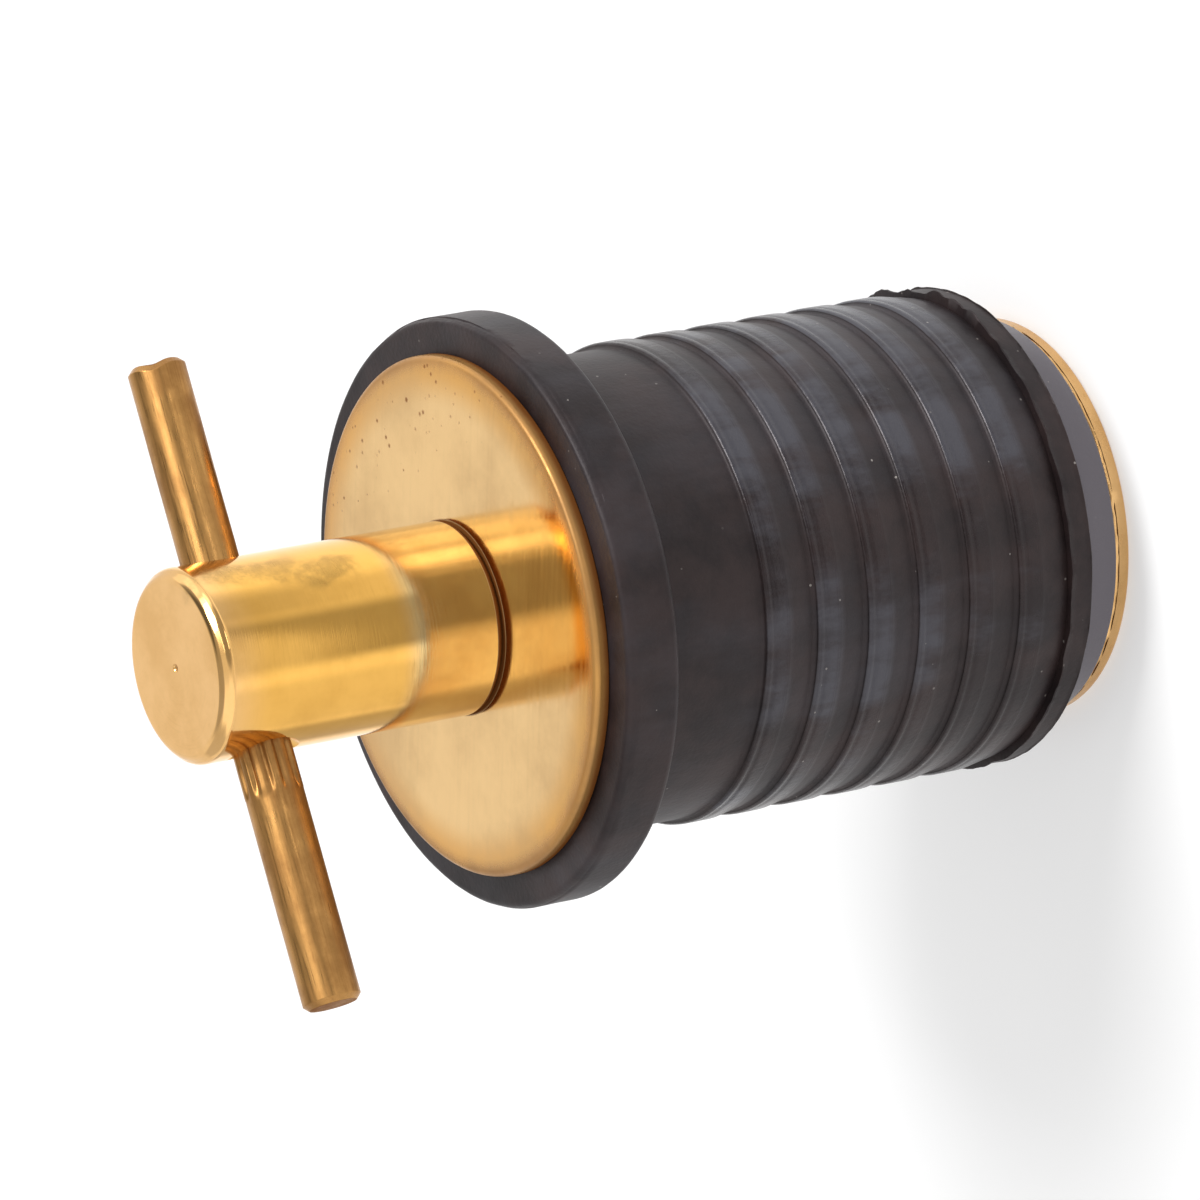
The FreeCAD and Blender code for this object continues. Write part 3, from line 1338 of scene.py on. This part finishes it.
@dataclass(frozen=True)
class CrossPin:
    """Straight drawn rod with rolled splines that grip the barrel."""

    sizes: PlugSizes
    material: bpy.types.Material
    chamfer: float = 0.35
    soft: float = 0.08
    spline_count: int = 12
    spline_segments: int = 16
    spline_l: float = 15.0
    spline_rise: float = 0.04
    spline_ramp: float = 0.2
    groove_depth: float = 0.22
    run_out: float = 0.9
    max_step: float = 0.3
    end_tone: float = 0.55
    dip: float = 0.4
    dip_run: float = 1.5
    dip_deg: float = -125.0
    dip_width_deg: float = 26.0

    def build(self) -> bpy.types.Object:
        """Make the pin.

        Returns:
            The pin's piece.
        """
        s = self.sizes
        radius = s.pin_d / 2
        ridge = radius + self.spline_rise
        half = s.pin_l / 2
        band = self.spline_l / 2
        points = rounded_outline([
            (0.0, -half, 0.0),
            (radius - self.chamfer, -half, self.soft),
            (radius, -half + self.chamfer, self.soft),
            (radius, -band, 0.0),
            (ridge, -band + self.spline_ramp, 0.0),
            (ridge, band - self.spline_ramp, 0.0),
            (radius, band, 0.0),
            (radius, half - self.chamfer, self.soft),
            (radius - self.chamfer, half, self.soft),
            (0.0, half, 0.0),
        ], self.max_step)
        tones = [self.end_tone if abs(z) > half - 0.02 else 0.0 for r, z in points]
        rod = TurnedBody(
            "cross_pin_rod",
            Outline(points, (), tones),
            self.material,
            SplinedTree(),
            self.spline_segments * self.spline_count,
            values={
                "Groove Count": float(self.spline_count),
                "Groove Depth": self.groove_depth * MM,
                "Band Half Length": band * MM,
                "Run-out": self.run_out * MM,
            },
        ).build()
        self.shear_end(rod)
        move = Matrix.Translation((s.pin_offset * MM, 0, (s.top_z - s.pin_from_top) * MM))
        return shaded_smooth(placed(rod, move @ Matrix.Rotation(math.pi / 2, 4, "Y")))

    def shear_end(self, rod: bpy.types.Object) -> None:
        """Sink the dip that the shears left in the rim of the rod's upper end.

        Args:
            rod: the rod, still standing along Z about the origin.
        """
        end = self.sizes.pin_l / 2 * MM
        for vertex in rod.data.vertices:
            inward = (end - vertex.co.z) / (self.dip_run * MM)
            if inward >= 1.0:
                continue
            turn = math.degrees(math.atan2(vertex.co.y, vertex.co.x)) - self.dip_deg
            turn = (turn + 180.0) % 360.0 - 180.0
            out = math.hypot(vertex.co.x, vertex.co.y) / (self.sizes.pin_d / 2 * MM)
            near = math.exp(-((turn / self.dip_width_deg) ** 2)) * min(1.0, out) ** 2
            vertex.co.z -= self.dip * MM * near * (1.0 - inward)


@dataclass(frozen=True)
class Wall:
    """Part of the room about a bearing and a rise, with the share of the room's light it gives."""

    bearing_deg: float
    rise_deg: float
    reach_deg: float
    share: float


@dataclass(frozen=True)
class Studio:
    """Plain pale floor, soft light and the photo's camera."""

    azimuth_deg: float = -10.81
    elevation_deg: float = 30.38
    roll_deg: float = 100.37
    distance_mm: float = 643.4
    target_mm: tuple[float, float, float] = (-1.47, -4.58, 35.56)
    frame_px: float = 1200.0
    focal_px: float = 10000.0
    sensor_mm: float = 36.0
    seen_m: Range = (0.01, 20.0)
    floor_radius: float = 1.5
    floor_drop_mm: float = 0.02
    sheet_reach: Range = (0.07, 0.3)
    sheet_rise: float = 0.0005
    round_steps: int = 96
    lit_spot: tuple[float, float, float] = (0.0, 0.0, 0.045)
    room_light: float = 0.95
    walls: tuple[Wall, ...] = (
        Wall(162.0, 25.0, 42.0, 0.42),
        Wall(11.0, 30.0, 45.0, 1.02),
        Wall(10.0, 76.0, 40.0, 0.5),
        Wall(307.0, 28.0, 26.0, 0.7),
        Wall(251.0, 28.0, 38.0, 1.35),
        Wall(98.0, 28.0, 30.0, 1.3),
        Wall(120.0, 30.0, 18.0, 1.7),
        Wall(70.0, 30.0, 22.0, 1.35),
        Wall(113.0, 48.0, 15.0, 2.4),
        Wall(58.0, 57.0, 25.0, 0.3),
    )

    def add_camera(self) -> bpy.types.Object:
        """Set the camera at the photo's angle, turned on its side as the photo shows the plug.

        Returns:
            The camera's object.
        """
        data = bpy.data.cameras.new("photo_camera")
        data.sensor_width = self.sensor_mm
        data.lens = self.sensor_mm * self.focal_px / self.frame_px
        data.clip_start, data.clip_end = self.seen_m
        camera = linked(data)
        turn, rise = math.radians(self.azimuth_deg), math.radians(self.elevation_deg)
        level = math.cos(rise)
        back = Vector((math.sin(turn) * level, -math.cos(turn) * level, math.sin(rise)))
        look = (-back).to_track_quat("-Z", "Y").to_matrix().to_4x4()
        roll = Matrix.Rotation(math.radians(-self.roll_deg), 4, "Z")
        place = Vector(self.target_mm) + back * self.distance_mm
        camera.matrix_world = Matrix.Translation(place * MM) @ look @ roll
        bpy.context.scene.camera = camera
        return camera

    def add_floor(self) -> bpy.types.Object:
        """Lay the pale floor under the plug.

        Returns:
            The floor's object.
        """
        work = bmesh.new()
        bmesh.ops.create_circle(work, cap_ends=True, segments=self.round_steps, radius=self.floor_radius)
        bmesh.ops.translate(work, verts=work.verts, vec=(0, 0, -self.floor_drop_mm * MM))
        data = bpy.data.meshes.new("floor")
        work.to_mesh(data)
        work.free()
        data.materials.append(self.paper())
        floor = linked(data)
        return floor

    def add_light(self, name: str, place: Sequence[float], size: Range, watts: float) -> bpy.types.Object:
        """Hang one soft light that faces the plug.

        Args:
            name: name of the light.
            place: where it hangs, in metres.
            size: its level side and its other side, in metres.
            watts: its power.

        Returns:
            The light's object.
        """
        data = bpy.data.lights.new(name, "AREA")
        data.shape = "RECTANGLE"
        data.size, data.size_y = size
        data.energy = watts
        lamp = linked(data)
        lamp.location = place
        aim = Vector(self.lit_spot) - Vector(place)
        lamp.rotation_euler = aim.to_track_quat("-Z", "Y").to_euler()
        return lamp

    def add_toned_sheet(self) -> bpy.types.Object:
        """Lay a toned sheet round the plug that only the brass and rubber mirror.

        Returns:
            The sheet's object.
        """
        count = self.round_steps
        rim = [(math.sin(math.tau * k / count), math.cos(math.tau * k / count)) for k in range(count)]
        corners = [(reach * x, reach * y, self.sheet_rise) for reach in self.sheet_reach for x, y in rim]
        faces = [(k, (k + 1) % count, (k + 1) % count + count, k + count) for k in range(count)]
        data = bpy.data.meshes.new("toned_sheet")
        data.from_pydata(corners, [], faces)
        if data.polygons[0].normal.z < 0:
            data.flip_normals()
        data.materials.append(self.toned_paper())
        sheet = linked(data)
        sheet.visible_camera = sheet.visible_shadow = sheet.visible_diffuse = False
        return sheet

    def toned_paper(self) -> bpy.types.Material:
        """Make the sheet's paper: white, with dark zones between four bearings each, in degrees.

        Returns:
            The paper's material.
        """
        nodes = MaterialTree("toned_paper")
        split = nodes.add("ShaderNodeSeparateXYZ", {0: nodes.spot}).outputs
        turn = nodes.work(Step.ARCTAN2, split["X"], nodes.work(Step.MULTIPLY, split["Y"], -1.0))
        bearing = nodes.work(Step.MULTIPLY, turn, -math.degrees(1.0))
        # The first zone, a wedge in front, ends in a straight edge, and the second in a round one.
        straight = nodes.work(Step.DOT, nodes.spot, (0.31, 0.95, 0.0))
        before = nodes.work(Step.SMOOTH, straight, -0.1068, -0.1048)
        beyond = nodes.work(Step.SMOOTH, nodes.work(Step.LENGTH, nodes.spot), 0.104, 0.11)
        shade = 1.0
        for mask, share, places in (
            (before, 0.34, (-32.0, -16.0, 26.0, 38.0)),
            (beyond, 0.2, (-80.0, -62.0, -36.0, -22.0)),
            (1.0, 0.5, (108.0, 118.0, 142.0, 156.0)),
            (1.0, 0.32, (-75.0, -50.0, 25.0, 45.0)),
            (1.0, 0.2, (42.0, 58.0, 102.0, 118.0)),
        ):
            zone = nodes.work(Step.MULTIPLY, nodes.between(bearing, *places), mask)
            shade = nodes.work(Step.SUBTRACT, shade, nodes.work(Step.MULTIPLY, zone, share))
        colour = nodes.work(Step.MIX, shade, linear("#000000"), linear("#FFFFFF"))
        return nodes.finished("ShaderNodeBsdfDiffuse", {"Color": colour})

    def paper(self) -> bpy.types.Material:
        """Make the floor's matt paper, which glows a little, as on a light table.

        Returns:
            The paper's material.
        """
        return MaterialTree("white_paper").finished("ShaderNodeBsdfPrincipled", {
            "Base Color": linear("#CACACA"),
            "Roughness": 0.9,
            "Specular IOR Level": 0.1,
            "Emission Color": linear("#FFFFFF"),
            "Emission Strength": 0.4,
        })

    def add_world(self) -> None:
        """Fill the room with soft light, brighter or darker at each of its walls."""
        world = bpy.data.worlds.new("white_room")
        world.use_nodes = True
        world.node_tree.nodes.clear()
        nodes = TreeBuilder(world.node_tree)
        way = nodes.add("ShaderNodeTexCoord").outputs["Generated"]
        light = self.room_light
        for wall in self.walls:
            turn, lift = math.radians(wall.bearing_deg), math.radians(wall.rise_deg)
            aim = (math.sin(turn) * math.cos(lift), math.cos(turn) * math.cos(lift), math.sin(lift))
            facing = nodes.work(Step.DOT, way, aim)
            edge = math.cos(math.radians(wall.reach_deg))
            change = nodes.work(Step.SMOOTH, facing, edge, (1 + edge) / 2, 1.0, wall.share)
            light = nodes.work(Step.MULTIPLY, light, change)
        back = nodes.add("ShaderNodeBackground", {"Color": linear("#FFFFFF"), "Strength": light})
        nodes.add("ShaderNodeOutputWorld", {"Surface": back.outputs[0]})
        bpy.context.scene.world = world

    def build(self) -> None:
        """Set up the studio: camera, floor, room, toned sheet, and three lights in metres and watts."""
        bpy.context.scene.view_settings.view_transform = "Standard"
        self.add_camera()
        self.add_floor()
        self.add_world()
        self.add_toned_sheet()
        self.add_light("side_softbox", (0.4, -0.25, 0.69), (0.3, 0.3), 4.0)
        self.add_light("high_strip", (0.089, -0.296, 0.517), (0.18, 0.05), 0.12)
        self.add_light("low_strip", (0.089, -0.54, 0.108), (0.18, 0.05), 0.12)


@dataclass(frozen=True)
class Fitting:
    """Which body a piece rides on and which node it stands for; the slot it names is not used."""

    body: str
    node: str
    slot: str

    def fit(self, piece: bpy.types.Object) -> None:
        """Hand the piece to the frame.

        Args:
            piece: finished piece at the origin.
        """
        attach(piece, self.body)
        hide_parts(self.node)
        LOG.info("%s rides on %s and stands for %s", piece.name, self.body, self.node)


def main() -> None:
    """Build the studio and the plug, and hand each piece to the frame."""
    logging.basicConfig(level=logging.INFO, format="%(name)s: %(message)s")
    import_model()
    Studio().build()
    sizes = PlugSizes()
    # Buffed sheet: a smooth pale mirror, with brown specks on one side and a golden rim that is painted
    # reflection.
    washer_brass = BrassFinish(
        "buffed_brass_sheet", "#F0C88C", "#C6A06C", ToolMarks.BUFFED, 0.13, 0.55,
        film_mm=12.0, streaks=0.12, line_mm=0.3, speck_from_x_mm=5.0,
        bands=(GoldenBand("#DFA85C", Across.RADIUS, (13.6, 16.2, 40.0, 41.0)),),
    )
    # Turned bar: a clear mirror with fine rings, deeper gold where it is held, and dark smears on one
    # side, partly grease and partly painted dark reflection.
    barrel_brass = BrassFinish(
        "turned_brass_bar", "#F2C282", "#C8933F", ToolMarks.TURNED, 0.1, 0.35,
        smears=(Smear((4.3, -4.7, 60.0), 2.3, 6.5), Smear((3.3, -5.4, 54.5), 2.0, 4.5)),
        bands=(
            GoldenBand("#F0D79C", Across.HEIGHT, (40.0, 41.0, 49.3, 51.5)),
            GoldenBand("#F2BA5E", Across.HEIGHT, (49.3, 51.5, 60.5, 64.8)),
        ),
    )
    # Drawn rod: satin brown brass, clouded all over, with faint lines along it.
    pin_brass = BrassFinish(
        "drawn_brass_rod", "#C09054", "#946A3C", ToolMarks.DRAWN, 0.35, 0.75, film_mm=4.0, bump_mm=0.004,
    )
    # Stamped sheet: coarser scratches and a flatter shine, as no one has polished it.
    plate_brass = BrassFinish(
        "stamped_brass_sheet", "#DFB379", "#AC7C40", ToolMarks.BUFFED, 0.2, 0.4, line_mm=0.5, bump_mm=0.01,
    )
    # Rolled rod: plain yellow brass with a soft shine, ringed by its thread.
    stud_brass = BrassFinish("rolled_brass_rod", "#DDB26C", "#A9783A", ToolMarks.TURNED, 0.25, 0.3)
    bung = Bung(sizes, RubberFinish().build()).build()
    Fitting("bung", "rubber_bung", "black_rubber").fit(bung)
    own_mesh(bung)
    plate = RearPlate(sizes, plate_brass.build()).build()
    Fitting("bung", "rear_plate", "plate_brass").fit(plate)
    stud = Stud(sizes, stud_brass.build()).build()
    Fitting("bung", "threaded_stud", "stud_brass").fit(stud)
    washer = FrontWasher(sizes, washer_brass.build()).build()
    Fitting("washer", "front_washer", "washer_brass").fit(washer)
    barrel = HandleBarrel(sizes, barrel_brass.build()).build()
    Fitting("handle", "handle_barrel", "barrel_brass").fit(barrel)
    pin = CrossPin(sizes, pin_brass.build()).build()
    Fitting("handle", "cross_pin", "pin_brass").fit(pin)


if __name__ == "__main__":
    main()
